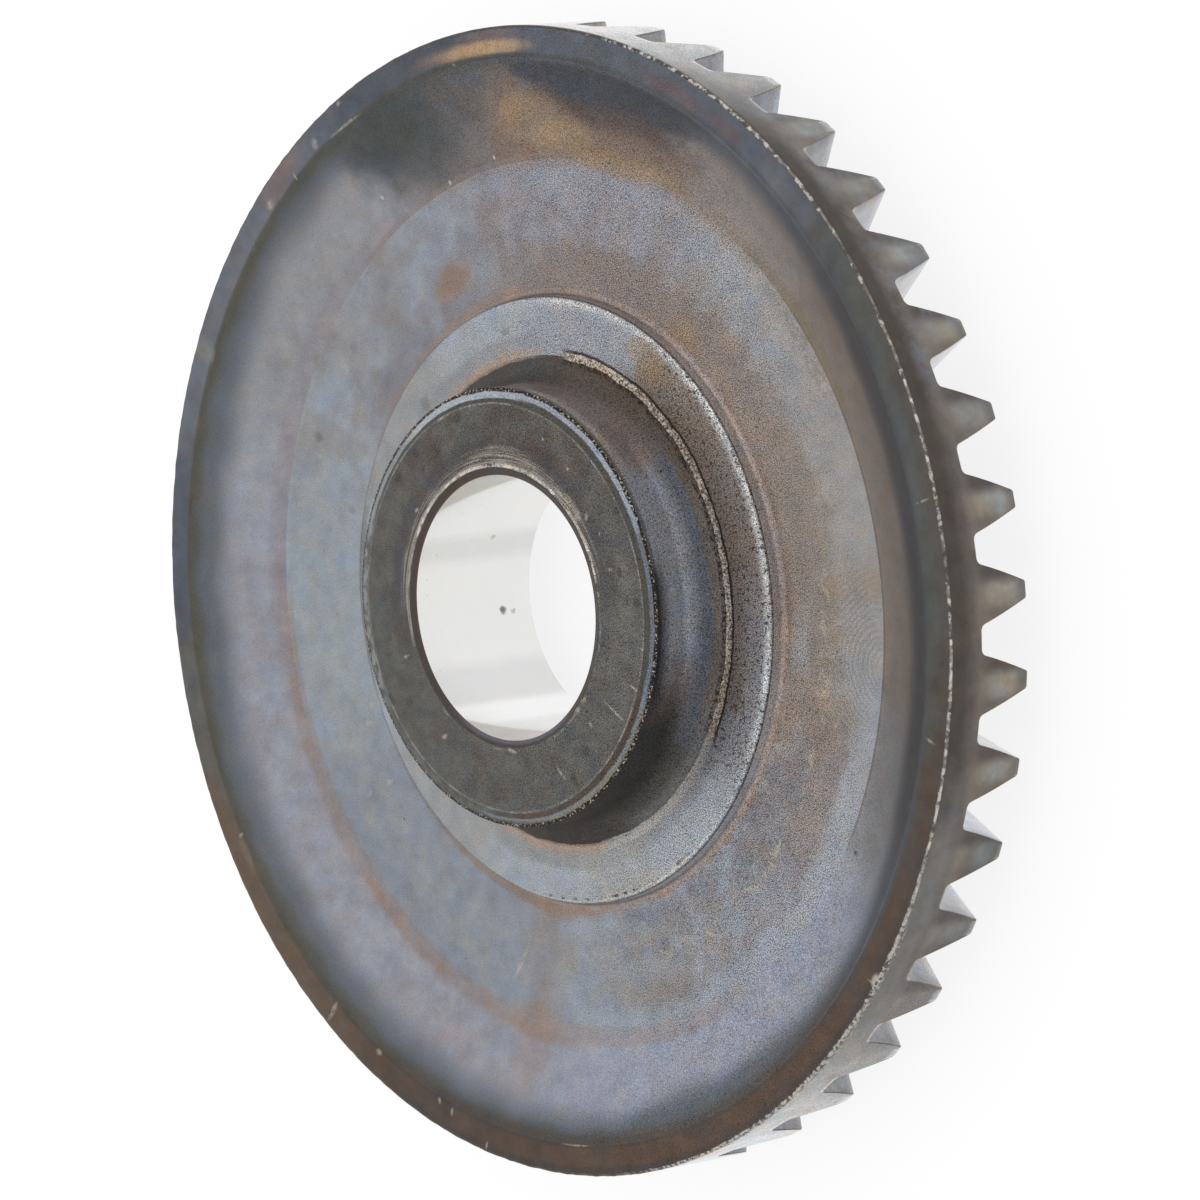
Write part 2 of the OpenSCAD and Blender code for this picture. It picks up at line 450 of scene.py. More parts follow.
worn = rise(tree, cloud(tree, here["Point"], 0.25), 0.3, 0.55)
put(tree, out["Mask"], calc(tree, "MULTIPLY", line, worn))
scratch_group = tree


def scratch(angle, radius, length, width, turn=0.0):
    """A scratch at an angle and a radius."""
    return scratch_group, {"Angle": angle, "Radius": radius, "Length": length, "Width": width, "Turn": turn}


# Large soft clouds, for the uneven heat tint.
tree, given, out = effect("mottle", ["Size", "Seed"], {"Mask": FLOAT})
shifted = moved(tree, use(tree, place)["Point"], given["Seed"])
put(tree, out["Mask"], rise(tree, cloud(tree, shifted, given["Size"]), 0.36, 0.64))
mottle_group = tree


def mottle(size, seed):
    """Soft clouds of about the given size."""
    return mottle_group, {"Size": size, "Seed": seed}


# Flecks of bare metal or of scale, where an edge has been knocked or rubbed.
tree, given, out = effect("flecks", ["Size", "Cover", "Seed"], {"Mask": FLOAT})
shifted = moved(tree, use(tree, place)["Point"], given["Seed"])
spotty = cloud(tree, shifted, given["Size"])
top = calc(tree, "MULTIPLY_ADD", given["Cover"], -0.4, 0.75)
end = calc(tree, "ADD", top, 0.05)
put(tree, out["Mask"], rise(tree, spotty, calc(tree, "SUBTRACT", top, 0.05), end))
flecks_group = tree


def flecks(size, cover, seed):
    """Flecks of about the given size."""
    return flecks_group, {"Size": size, "Cover": cover, "Seed": seed}


# Shot-blast grain: a fine swing between dark and light, sparse pits, blotches, a drift between warm and cool
# tint, and the height that goes with them. The grain is plainest round the hub and on the near side.
grain_outputs = dict.fromkeys(("Swing", "Pits", "Blotch", "Warm", "Cool", "Height"), FLOAT)
tree, given, out = effect("shot_grain", ["Size", "Pitted"], grain_outputs)
here = use(tree, place)
near, up, _ = add(tree, "ShaderNodeSeparateXYZ", {0: here["Point"]}).outputs
near = calc(tree, "MULTIPLY_ADD", up, 0.15, near)
raised = calc(tree, "ADD", here["Height"], web_depth)
near = calc(tree, "MULTIPLY_ADD", raised, 0.9, near)
plain = calc(
    tree,
    "MULTIPLY",
    rise(tree, near, -11.0, 11.0, 0.2, 1.0),
    rise(tree, near, 15.0, 26.0, 1.0, 0.15),
)
fine = cloud(tree, here["Point"], given["Size"], 1.0)
swing = calc(tree, "MULTIPLY", calc(tree, "SUBTRACT", fine, 0.5), 4.0)
put(tree, out["Swing"], calc(tree, "MULTIPLY", swing, plain))
pitted = cloud(tree, here["Point"], 0.15, 1.0)
start = calc(tree, "MULTIPLY_ADD", given["Pitted"], 0.1, 0.22)
pits = rise(tree, pitted, start, calc(tree, "ADD", start, 0.06), 1.0, 0.0)
put(tree, out["Pits"], calc(tree, "MULTIPLY", pits, plain))
blotch = calc(tree, "SUBTRACT", cloud(tree, here["Point"], 1.3, 4.0), 0.5)
put(tree, out["Blotch"], blotch)
drift = cloud(tree, moved(tree, here["Point"], (200.0, 0.0, 0.0)), 1.5, 4.0)
put(tree, out["Warm"], rise(tree, drift, 0.48, 0.72))
put(tree, out["Cool"], rise(tree, drift, 0.52, 0.28))
put(tree, out["Height"], fine)
grain_group = tree


finishes = {}
warm_tint = (1.14, 1.0, 0.86)
cool_tint = (0.88, 0.99, 1.14)
grain_depth = 0.01 * MM


class Finish:
    """The material of one zone, built up in layers of colour."""

    def __init__(self, zone, colour, roughness):
        self.material = bpy.data.materials.new("steel_" + zone)
        self.material.use_nodes = True
        self.tree = self.material.node_tree
        self.shader = self.tree.nodes["Principled BSDF"]
        self.shader.inputs["Metallic"].default_value = 1.0
        self.shader.inputs["Roughness"].default_value = roughness
        self.here = use(self.tree, place)
        self.colour = colour
        finishes[zone] = self.material

    def lay(self, colour, *masks, mode="MIX"):
        """Lays a colour where all the masks hold; a mask is an effect, a socket or a plain share."""
        share = 1.0
        for mask in masks:
            if isinstance(mask, tuple):
                mask = use(self.tree, *mask)["Mask"]
            share = calc(self.tree, "MULTIPLY", share, mask)
        values = {0: share, 6: self.colour, 7: colour}
        self.colour = add(self.tree, "ShaderNodeMix", values, data_type="RGBA", blend_type=mode).outputs[2]

    def paint(self, *layers):
        """Lays colours given as they show on a screen; a layer is a colour and its masks."""
        for colour, *masks in layers:
            self.lay(tone(*colour), *masks)

    def rising(self, label, low, high):
        """A mask that rises with the radius or the height, from low to high."""
        return rise(self.tree, self.here[label], low, high)

    def paint_grazing_sheen(self, low, high, colour):
        """Paints a sheen into the colour where the surface is seen almost edge-on, as a painted reflection.
        """
        facing = add(self.tree, "ShaderNodeLayerWeight", {"Blend": 0.5}).outputs["Facing"]
        self.lay(colour, rise(self.tree, facing, low, high))

    def finish(self, amount, pitted=0.3, dark=0.45, blotch=0.5, drift=0.6, bump=0.25, size=0.075):
        """Lays the grain over the colours and hands them to the shader."""
        shot = use(self.tree, grain_group, {"Size": size, "Pitted": pitted})
        self.lay(warm_tint, shot["Warm"], drift, mode="MULTIPLY")
        self.lay(cool_tint, shot["Cool"], drift, mode="MULTIPLY")
        self.lay((dark, dark, dark), shot["Pits"], mode="MULTIPLY")
        gain = calc(self.tree, "MULTIPLY_ADD", shot["Blotch"], blotch, 1.0)
        gain = calc(self.tree, "MULTIPLY_ADD", shot["Swing"], amount, gain)
        gain = calc(self.tree, "MAXIMUM", gain, 0.1)
        grained = add(self.tree, "ShaderNodeVectorMath", {0: self.colour, "Scale": gain}, operation="SCALE")
        put(self.tree, self.shader.inputs["Base Color"], grained.outputs[0])
        values = {"Height": shot["Height"], "Strength": bump, "Distance": grain_depth}
        relief = add(self.tree, "ShaderNodeBump", values)
        put(self.tree, self.shader.inputs["Normal"], relief.outputs["Normal"])


# The rim land is the highest flat of the back. It was tinted most: blue and violet above, rust brown below,
# with nicks down to bare steel.
olive = (86, 84, 74)
bare = (186, 181, 172)
land = Finish("land", tone(87, 92, 101), 0.45)
land.paint(
    ((80, 84, 93), mottle(1.6, 14.0), 0.7),
    ((108, 111, 119), sector(141, 12, 20)),
    ((98, 102, 110), sector(60, 20, 16), 0.8),
    ((124, 110, 110), stain(128, 30.8, 2.2, 0.8, 1.4), 0.8),
    ((106, 94, 98), stain(63, 30.4, 2.6, 0.4, 1.4), 0.8),
    ((104, 92, 94), stain(55, 30.4, 1.4, 0.4, 1.4), 0.7),
    ((108, 110, 119), stain(45, 30.4, 1.8, 0.7, 1.2), 0.8),
    ((116, 94, 86), stain(38, 30.35, 0.8, 0.35, 1.2), 0.7),
    ((90, 91, 89), sector(10, 24, 14)),
    ((88, 81, 75), sector(6, 14, 12), land.rising("Radius", 30.4, 31.0), 0.6),
    ((88, 78, 72), sector(-85, 64, 24, 40)),
    ((86, 88, 81), sector(-8, 9, 12), land.rising("Radius", 30.7, 30.3), 0.8),
    ((87, 75, 68), sector(-80, 56, 20, 40), mottle(1.6, 52.0)),
    ((96, 79, 68), sector(-70, 24, 14), band(29.8, 30.9, 0.3, 0.6), mottle(1.4, 31.0), 0.9),
    ((104, 90, 79), sector(-148, 13, 14)),
    ((98, 97, 93), sector(-170, 4, 9), 0.8),
    ((76, 70, 69), sector(-70, 36, 16), land.rising("Radius", 30.8, 31.2), 0.7),
    ((126, 112, 105), stain(95, 30.4, 3.6, 0.5, 1.0), 0.8),
    ((180, 152, 120), stain(92, 30.4, 3.2, 0.42, 1.2), 0.9),
    ((124, 108, 106), stain(91, 31.1, 2.4, 0.3, 1.0), 0.7),
    (olive, land.rising("Radius", 30.1, 29.85), sector(150, 70, 14), 0.85),
    ((82, 84, 87), land.rising("Radius", 30.15, 29.8), sector(30, 62, 18), 0.75),
    ((80, 73, 70), land.rising("Radius", 30.05, 29.8), sector(-85, 40, 14), 0.7),
    ((128, 128, 122), stain(151, 30.7, 0.6, 1.2, 0.8), 0.6),
    ((126, 118, 110), stain(-152, 30.1, 1.0, 0.3), 0.4),
)
for angle, radius, length, width, turn in (
    (121.2, 30.4, 1.0, 0.4, 0.0),
    (116.0, 29.88, 4.2, 0.16, 88.0),
    (131.2, 30.35, 0.9, 0.45, 4.0),
    (126.0, 30.0, 0.9, 0.12, 8.0),
    (115.5, 31.2, 0.5, 0.4, 0.0),
    (96.5, 29.75, 0.9, 0.14, 60.0),
    (-90.0, 29.78, 3.6, 0.1, 90.0),
    (-130.8, 30.5, 2.2, 0.26, 0.0),
    (-109.8, 30.2, 0.8, 0.18, 5.0),
    (-112.0, 30.0, 0.6, 0.22, 15.0),
    (-104.0, 31.1, 0.8, 0.12, -8.0),
    (-122.5, 30.0, 0.6, 0.4, 20.0),
    (-154.0, 29.95, 0.6, 0.22, 0.0),
    (-40.0, 31.05, 0.9, 0.12, 10.0),
    (-14.0, 30.3, 1.1, 0.12, -12.0),
    (9.5, 30.5, 1.4, 0.12, 6.0),
    (-53.0, 29.4, 0.5, 0.2, 30.0),
):
    land.paint((bare, scratch(angle, radius, length, width, turn), 0.5))
land.paint(
    (bare, land.rising("Radius", 31.25, 31.36), flecks(0.25, 0.5, 5.0), sector(-50, 14, 8), 0.8),
    (bare, stain(-39.5, 31.35, 0.35, 0.25, 1.2), 0.8),
)
land.finish(0.4, 0.4, blotch=0.7)

# The sharp back edge of the rim was broken with a file. On the near side it shows as a rough bright line,
# partly worn to bare metal and partly a painted highlight, and burrs stand out bright where it has been
# knocked.
rim_edge = Finish("rim_edge", tone(86, 80, 76), 0.42)
worn = calc(
    rim_edge.tree,
    "MULTIPLY",
    rim_edge.rising("Height", -0.15, -0.1),
    rim_edge.rising("Height", 0.0, -0.04),
)
rim_edge.paint(
    # Partly wear and partly a painted highlight: the bright line along the edge on the near side.
    ((142, 137, 131), mottle(0.8, 0.0), sector(-10, 58, 16), worn, 0.9),
    ((206, 201, 194), flecks(0.6, 0.5, 8.0), sector(-4, 24, 14), worn, 0.9),
    ((190, 184, 176), flecks(0.5, 0.4, 0.0), sector(0, 62, 12), 0.7),
    (bare, flecks(0.25, 0.65, 5.0), sector(-54, 22, 10), 0.9),
    ((196, 191, 183), flecks(0.45, 0.5, 12.0), sector(58, 14, 8), 0.9),
)
rim_edge.finish(0.4, 0.4)

# The web and the hollow are one turned and shot-blasted face. The web is its flat part: pale blue, brown
# near the raised ring and streaked with rust below. Next to the ring on the near side its browns are
# painted lighter, as light that lifts the shade of the hub. The effect that comes first is the curved
# marks that a chattering tool left on it, round a place on the gear.
tree, given, out = effect("chatter", ["Angle", "Radius", "Spacing"], {"Mask": FLOAT})
here = use(tree, place)
along, across = polar_offset(tree, here, given)
along = calc(tree, "MULTIPLY", along, along)
away = calc(tree, "SQRT", calc(tree, "MULTIPLY_ADD", across, across, along))
away = jagged(tree, away, here["Point"], 3.0, 1.3)
wave = calc(tree, "PINGPONG", calc(tree, "DIVIDE", away, given["Spacing"]), 0.5)
put(tree, out["Mask"], rise(tree, wave, 0.05, 0.45))
chatter_group = tree


def chatter(angle, radius, spacing):
    """Marks with the given spacing, round an angle and a radius."""
    return chatter_group, {"Angle": angle, "Radius": radius, "Spacing": spacing}


grey = (145, 145, 147)
straw = (154, 132, 104)
rust_line = (148, 128, 115)
black = (40, 35, 33)
web = Finish("web", tone(149, 156, 165), 0.45)
web.paint(
    ((138, 143, 152), sector(-135, 22, 26), 0.9),
    ((151, 158, 165), sector(176, 14, 22)),
    ((154, 157, 152), sector(-152, 34, 16), band(20.0, 22.0, 0.8, 2.0), mottle(1.6, 12.0), 0.5),
    (grey, sector(140, 12, 18), mottle(2.2, 3.0)),
    ((138, 134, 138), sector(112, 20, 22), mottle(2.5, 40.0), 0.7),
    ((126, 123, 127), sector(122, 16, 14), web.rising("Radius", 20.2, 18.4), 0.6),
    ((147, 146, 153), sector(76, 20, 20)),
    ((136, 130, 131), sector(82, 26, 20), mottle(2.0, 21.0), band(10.0, 22.0, 1.8, 3.0), 0.65),
    ((151, 142, 134), sector(10, 36, 20, 30)),
    ((161, 160, 160), sector(4, 44, 16), band(21.8, 25.0, 1.6, 4.5), 0.7),
    ((154, 158, 166), sector(-27, 11, 12), band(22.4, 25.0, 1.4, 3.0), 0.65),
    ((152, 155, 165), sector(-54, 12, 12), band(22.4, 25.0, 1.2, 2.5), 0.6),
    ((152, 157, 168), stain(84, 22.7, 2.2, 1.0, 1.4), 0.4),
    ((150, 155, 166), stain(52, 22.6, 3.0, 0.9, 1.4), 0.5),
    ((150, 153, 158), stain(135, 23.0, 2.6, 0.9, 1.2), 0.7),
    ((146, 152, 163), stain(120.5, 18.7, 0.6, 1.3, 1.2), 0.7),
    ((148, 150, 155), stain(40, 21.2, 4.8, 1.4, 1.4), 0.8),
    ((150, 135, 122), stain(1, 22.4, 1.0, 2.0, 1.6), 0.55),
    ((150, 136, 122), stain(-20, 21.2, 2.0, 1.4, 1.6), 0.6),
    ((139, 129, 125), sector(-33, 9, 8), band(20.0, 22.0, 0.8, 2.0), 0.7),
    ((136, 125, 120), sector(42, 46, 22, 40), band(10.0, 18.8, 1.8, 4.0), 0.9),
    # Painted lighter next to the ring on the near side, to lift the shade of the hub there.
    ((147, 137, 130), sector(4, 24, 16), band(10.0, 19.2, 1.2, 4.0), 0.9),
    ((154, 142, 132), sector(8, 34, 16), band(10.0, 17.6, 0.9, 1.5), 0.8),
    ((159, 157, 157), sector(-20, 11, 12), band(10.0, 18.2, 0.8, 1.5), 0.85),
    ((136, 136, 143), sector(-62, 24, 14), mottle(1.8, 60.0), band(10.0, 22.4, 1.0, 2.0), 0.75),
    ((124, 125, 132), sector(-54, 22, 14), band(17.6, 19.6, 0.6, 3.0), mottle(1.6, 70.0), 0.8),
    ((136, 126, 123), sector(-44, 20, 12), mottle(1.5, 80.0), band(17.8, 22.0, 0.6, 2.0), 0.55),
    ((146, 140, 134), sector(-78, 12, 10), mottle(1.5, 84.0), band(18.5, 21.6, 0.6, 2.0), 0.5),
)
tide = jagged(web.tree, web.here["Radius"], web.here["Point"], 2.0, 4.0)
tide = calc(web.tree, "ABSOLUTE", calc(web.tree, "SUBTRACT", tide, 20.0))
tide = rise(web.tree, tide, 0.05, 0.3, 1.0, 0.0)
web.paint(
    ((172, 167, 149), tide, sector(-40, 40, 12), flecks(1.0, 0.6, 33.0), 0.65),
    ((158, 156, 146), stain(-97, 20.3, 0.9, 1.1, 1.2), 0.5),
    ((140, 129, 125), sector(-101.5, 1, 6, 12), band(18.0, 25.0, 1.2, 1.0), 0.5),
    ((149, 129, 114), stain(-102.5, 23.8, 1.3, 0.9, 1.4), 0.6),
    ((142, 121, 107), stain(113.5, 19.5, 1.5, 0.9, 1.0), 0.85),
    ((140, 130, 120), stain(-76, 22.0, 2.6, 1.4, 1.4), 0.5),
    ((127, 114, 100), stain(34, 23.8, 5.0, 0.6), flecks(0.3, 0.7, 44.0), 0.4),
    ((139, 129, 122), sector(78, 22, 16), web.rising("Radius", 23.3, 24.1), 0.6),
    (straw, stain(76, 24.1, 2.8, 0.45, 1.5), 0.55),
    (rust_line, band(23.9, 24.4, 0.35, 0.6), sector(-140, 34, 14), 0.45),
    ((147, 139, 139), band(23.8, 24.4, 0.4, 0.6), sector(-86, 18, 10), 0.6),
    ((122, 112, 106), band(16.0, 17.45, 0.4, 0.4), sector(-146, 44, 14), 0.55),
    ((150, 126, 108), band(16.0, 17.4, 0.35, 0.3), sector(-112, 18, 12), 0.5),
    ((148, 128, 114), band(16.0, 17.5, 0.3, 0.3), sector(125, 20, 12), 0.5),
    ((146, 124, 108), web.rising("Radius", 17.45, 17.05), sector(112, 30, 14), mottle(1.2, 66.0), 0.8),
    ((150, 130, 116), web.rising("Radius", 17.35, 17.05), sector(30, 44, 18), mottle(1.2, 66.0), 0.5),
    ((151, 124, 102), web.rising("Radius", 17.5, 17.1), sector(-46, 54, 18), mottle(1.4, 68.0), 0.75),
    ((152, 131, 104), stain(52, 17.6, 1.8, 0.8, 1.8), 0.5),
    ((147, 126, 109), stain(-99, 17.5, 1.6, 0.5, 1.6), 0.5),
    ((150, 126, 104), stain(-18, 17.9, 2.0, 0.8, 1.8), 0.5),
)
web.lay((0.72, 0.72, 0.72), chatter(-9.0, 24.6, 0.34), stain(-8.0, 22.4, 4.6, 1.6), 0.6, mode="MULTIPLY")
web.paint(
    ((98, 96, 90), stain(154.9, 22.4, 0.27, 0.36, 0.6), 0.45),
    ((112, 108, 100), stain(163.5, 18.6, 0.22, 0.3, 0.6), 0.35),
    ((106, 104, 100), stain(139.0, 22.0, 0.25, 0.35, 0.8), 0.2),
)
for angle, radius, length, width, turn in (
    (-107.3, 21.2, 4.0, 0.24, -20.0),
    (157.6, 22.1, 1.0, 0.22, -10.0),
    (-149.0, 21.3, 1.0, 0.14, 0.0),
    (-161.5, 18.4, 0.7, 0.26, 10.0),
    (-148.0, 19.3, 0.9, 0.3, -10.0),
    (-159.0, 19.1, 0.9, 0.28, 15.0),
    (56.0, 22.1, 0.7, 0.12, 5.0),
    (53.0, 22.3, 0.8, 0.1, 70.0),
    (-18.5, 21.2, 0.9, 0.2, 60.0),
):
    web.paint(((182, 173, 155), scratch(angle, radius, length, width, turn), 0.6))
web.paint(
    ((88, 82, 80), flecks(0.22, 0.3, 13.0), sector(-44, 24, 14), band(17.4, 20.4, 0.6, 1.5), 0.6),
    (black, flecks(0.3, 0.05, 5.0), 0.6),
)
web.finish(1.3, 0.7, blotch=0.55, drift=0.5, size=0.062)

# The hollow rises from the web to the land. It is lavender low down and goes through blue to a dark
# olive scale under the land; the darkening towards the land is partly this tint and partly painted shade.
hollow = Finish("hollow", tone(152, 155, 164), 0.45)
ragged_r = jagged(hollow.tree, hollow.here["Radius"], hollow.here["Point"], 2.6, 1.5)
hollow.paint(
    ((147, 150, 158), hollow.rising("Radius", 24.7, 24.15), sector(180, 100, 20), 0.6),
    ((145, 148, 158), mottle(3.0, 0.0), 0.7),
    ((144, 138, 143), mottle(1.8, 38.0), sector(-140, 40, 20), 0.6),
    ((152, 157, 171), sector(-70, 26, 16), 0.6),
    (grey, sector(138, 10, 20), 0.9),
    # On the near side the browns are painted lighter, to lift the dark that the hollow reflects there.
    ((131, 121, 115), sector(30, 50, 14, 30)),
    ((142, 134, 130), sector(54, 10, 12), 0.9),
    ((143, 133, 125), sector(7, 20, 18), 0.9),
    ((140, 140, 142), sector(-24, 6, 8, 10), 0.8),
    ((118, 113, 112), sector(101, 9, 9)),
)
depth = ragged_r
for middle, half, fade, deeper in (
    (6, 18, 28, 0.8),
    (172, 12, 20, 0.4),
    (-68, 9, 10, 0.65),
    (-140, 8, 20, 0.35),
):
    wide = use(hollow.tree, *sector(middle, half, fade, 6.0))["Mask"]
    depth = calc(hollow.tree, "MULTIPLY_ADD", wide, deeper, depth)
hollow.paint(
    # Partly tint and partly painted shade: a dark band towards the land, darkest on the near side.
    ((100, 104, 111), rise(hollow.tree, depth, 27.4, 29.3)),
    ((94, 93, 94), rise(hollow.tree, depth, 27.3, 29.0), sector(5, 24, 16), 0.85),
    (olive, rise(hollow.tree, ragged_r, 28.95, 29.7), sector(-175, 112, 20), 0.85),
    ((84, 83, 78), rise(hollow.tree, ragged_r, 28.8, 29.4), sector(-112, 24, 16), 0.6),
    ((94, 90, 86), hollow.rising("Radius", 28.7, 29.3), sector(-62, 14, 12), 0.8),
    ((86, 77, 74), hollow.rising("Radius", 29.2, 29.6), sector(-82, 34, 14), 0.7),
    ((126, 110, 101), sector(79, 12, 9), rise(hollow.tree, ragged_r, 28.4, 26.8)),
    ((98, 86, 82), sector(75, 9, 9), rise(hollow.tree, ragged_r, 25.6, 27.0)),
    ((74, 77, 84), sector(74, 9, 10), rise(hollow.tree, ragged_r, 26.8, 28.3)),
    ((90, 92, 95), stain(110, 27.2, 3.9, 2.2, 0.7), 0.9),
    ((80, 83, 82), stain(111, 28.5, 4.3, 1.8, 0.7), 0.92),
    ((98, 93, 91), stain(99, 28.2, 2.0, 1.4, 1.2), 0.75),
    ((118, 105, 99), stain(91, 28.6, 1.2, 0.9, 1.2), 0.8),
    ((143, 125, 109), stain(89, 26.2, 2.8, 1.9, 1.4), 0.8),
    (straw, stain(91, 26.9, 1.2, 0.7, 1.4), 0.5),
    ((160, 138, 108), stain(84, 25.6, 2.4, 0.7, 1.4), 0.5),
    ((160, 138, 108), sector(73, 6, 8, 16), rise(hollow.tree, ragged_r, 25.6, 24.3), 0.65),
    ((141, 131, 128), band(24.25, 24.7, 0.45, 0.6), sector(-144, 40, 14), 0.55),
    (rust_line, band(24.35, 24.6, 0.3, 0.5), sector(-142, 36, 14), mottle(3.0, 28.0), 0.7),
    ((148, 139, 139), band(24.0, 24.5, 0.35, 0.5), sector(-84, 16, 10), 0.6),
    ((142, 135, 140), band(24.3, 25.1, 0.4, 0.6), sector(154, 34, 12), 0.5),
    ((140, 127, 122), band(24.2, 24.4, 0.12, 0.2), sector(92, 32, 10), 0.5),
    ((149, 129, 114), stain(-103.5, 24.5, 2.0, 0.6, 1.4), 0.6),
    (rust_line, stain(-102, 26.0, 1.2, 1.6, 1.4), 0.4),
)
for angle, radius in ((107.5, 24.4), (98.0, 24.7), (119.0, 26.0)):
    hollow.paint((bare, stain(angle, radius, 0.1, 0.12, 0.6), 0.8))
hollow.paint(
    (black, stain(-32.8, 25.0, 0.12, 0.16, 0.5), 0.6),
    ((116, 104, 96), band(24.0, 24.25, 0.15, 0.15), sector(3, 32, 6), 0.7),
    ((130, 118, 99), stain(36, 24.5, 6.0, 0.5, 1.2), 0.5),
    ((97, 99, 102), hollow.rising("Radius", 29.35, 29.8), sector(25, 60, 18), 0.7),
)
hollow.finish(0.9, 0.45, blotch=0.55, drift=0.5, size=0.062)

# The raised ring round the hub is a turned seat of the same steel. It is paler, brown and pitted on the
# near side, with a bright outer edge that is rubbed and carries a painted highlight along its rounding,
# and a flecked line where the hub's foot begins.
ring_flat = Finish("ring", tone(157, 162, 170), 0.43)
ring_flat.paint(
    ((161, 166, 169), mottle(1.8, 15.0), 0.6),
    ((148, 148, 156), sector(78, 10, 12), 0.6),
    ((146, 147, 147), sector(142, 12, 14), 0.75),
    ((152, 151, 148), sector(-132, 10, 14), 0.7),
    ((143, 143, 146), band(10.0, 14.5, 0.5, 0.8), sector(112, 16, 12), 0.8),
    ((143, 144, 144), band(10.0, 14.5, 0.5, 0.8), sector(-90, 20, 14), 0.8),
    ((158, 157, 152), sector(-76, 6, 8), 0.6),
    ((137, 127, 119), sector(22, 30, 9, 14)),
    ((146, 143, 145), sector(-17, 13, 14, 20), 0.9),
    ((130, 117, 107), band(10.0, 14.4, 0.9, 1.2), sector(18, 36, 12), 0.7),
    ((136, 136, 142), band(10.0, 14.3, 0.6, 1.0), sector(-48, 14, 20), 0.5),
    # A painted highlight along the rounded outer edge, which is also rubbed there.
    ((176, 178, 180), band(16.4, 16.62, 0.4, 0.2), sector(32, 56, 14), 0.7),
    ((196, 196, 194), band(16.46, 16.6, 0.16, 0.16), sector(32, 52, 12), mottle(1.2, 71.0), 0.8),
    ((184, 183, 180), band(16.5, 16.6, 0.06, 0.06), sector(-76, 22, 10), 0.7),
    ((56, 48, 46), band(16.36, 16.46, 0.05, 0.1), sector(-78, 18, 8), flecks(0.5, 0.5, 23.0), 0.8),
    ((122, 117, 124), ring_flat.rising("Radius", 16.62, 16.7), sector(25, 70, 20), 0.8),
    ((112, 113, 113), band(16.2, 16.75, 0.2, 0.2), sector(178, 14, 10), 0.7),
    ((152, 128, 102), stain(56, 15.4, 1.5, 0.9, 1.6), 0.65),
    ((120, 120, 122), stain(131, 14.8, 0.35, 0.4, 0.4), 0.6),
    ((120, 120, 122), stain(100, 15.1, 0.3, 0.2, 0.4), 0.6),
    ((58, 48, 43), flecks(0.2, 0.4, 11.0), sector(8, 40, 16), 0.85),
    ((164, 146, 134), band(13.3, 13.85, 0.15), sector(110, 12, 10), 0.8),
    ((164, 146, 134), band(13.3, 13.8, 0.15), sector(-98, 16, 12), 0.8),
    ((166, 164, 162), band(13.3, 13.8, 0.12), sector(-52, 22, 10), 0.9),
    ((60, 48, 43), band(13.74, 13.9, 0.06, 0.4), sector(24, 54, 5), 0.9),
    ((150, 136, 125), band(13.3, 13.74, 0.05, 0.4), sector(24, 54, 5), 0.8),
    ((204, 193, 180), band(13.3, 13.74, 0.05, 0.4), sector(24, 54, 5), flecks(0.2, 0.72, 8.0)),
    ((60, 48, 43), band(13.3, 13.85, 0.05, 0.4), sector(24, 54, 5), flecks(0.18, 0.46, 4.0), 0.85),
)
ring_flat.finish(1.4, 0.7, blotch=0.5, drift=0.45, size=0.062)

# The ring's low wall was turned with it. Its colour is painted far lighter than the steel, most on the
# lower near side, to lift the shade that the wall stands in. A small fillet joins it to the web, and rust
# has gathered there.
ring_wall = Finish("ring_wall", tone(200, 196, 198), 0.45)
ring_wall.paint(
    # Painted lighter still on the lower near side, as light that lifts its shade.
    ((226, 231, 236), sector(-54, 30, 14), 0.9),
    ((144, 130, 123), ring_wall.rising("Height", -2.05, -2.35), 0.9),
    ((146, 126, 112), ring_wall.rising("Radius", 16.8, 17.05), mottle(1.2, 66.0), 0.7),
)
ring_wall.finish(0.9, 0.4, size=0.062)

# The hub's wall and its filleted foot were turned and then left dark with scale. Its near side is painted
# a lighter blue grey, partly tint and partly painted light; its lower side is painted dark as shade, and a
# painted shadow lies under the burr at its top. A rough flecked line shows where the tool stopped.
hub_side = Finish("hub_side", (0.3, 0.25, 0.23), 0.6)
hub_side.lay((0.2, 0.185, 0.18), mottle(1.6, 21.0), 0.5)
hub_side.lay((0.36, 0.31, 0.29), sector(52, 12, 14), 0.9)
hub_side.lay((0.52, 0.49, 0.45), hub_side.rising("Height", 1.2, 1.7), sector(56, 18, 10), 0.8)
# Partly tint and partly painted light: the near side lighter and bluer.
hub_side.lay((0.42, 0.45, 0.51), sector(10, 18, 16))
# Painted shadow under the burr, at the top of the wall on the near side.
hub_side.lay((0.3, 0.3, 0.31), hub_side.rising("Height", 1.1, 2.0), sector(-9, 12, 12), mode="MULTIPLY")
hub_side.lay((0.5, 0.48, 0.44), hub_side.rising("Height", 1.85, 2.1), sector(32, 46, 10), mode="MULTIPLY")
# Painted shade: the lower side of the wall dark.
hub_side.lay((0.085, 0.08, 0.074), sector(-64, 28, 18, 10))
hub_side.paint(((93, 84, 78), hub_side.rising("Height", 0.1, -1.2), sector(46, 66, 14)))
foot_blue = calc(
    hub_side.tree,
    "MULTIPLY",
    hub_side.rising("Height", 0.1, -1.2),
    hub_side.rising("Radius", 12.8, 12.45),
)
hub_side.paint(((91, 95, 102), foot_blue, sector(2, 32, 14)))
fillet_light_band = calc(
    hub_side.tree,
    "MULTIPLY",
    hub_side.rising("Height", 0.5, 0.0),
    hub_side.rising("Height", -1.0, -0.6),
)
# Painted light: a lighter band where the fillet starts, lifting the shade there.
hub_side.lay((1.35, 1.37, 1.4), fillet_light_band, sector(2, 34, 14), mode="MULTIPLY")
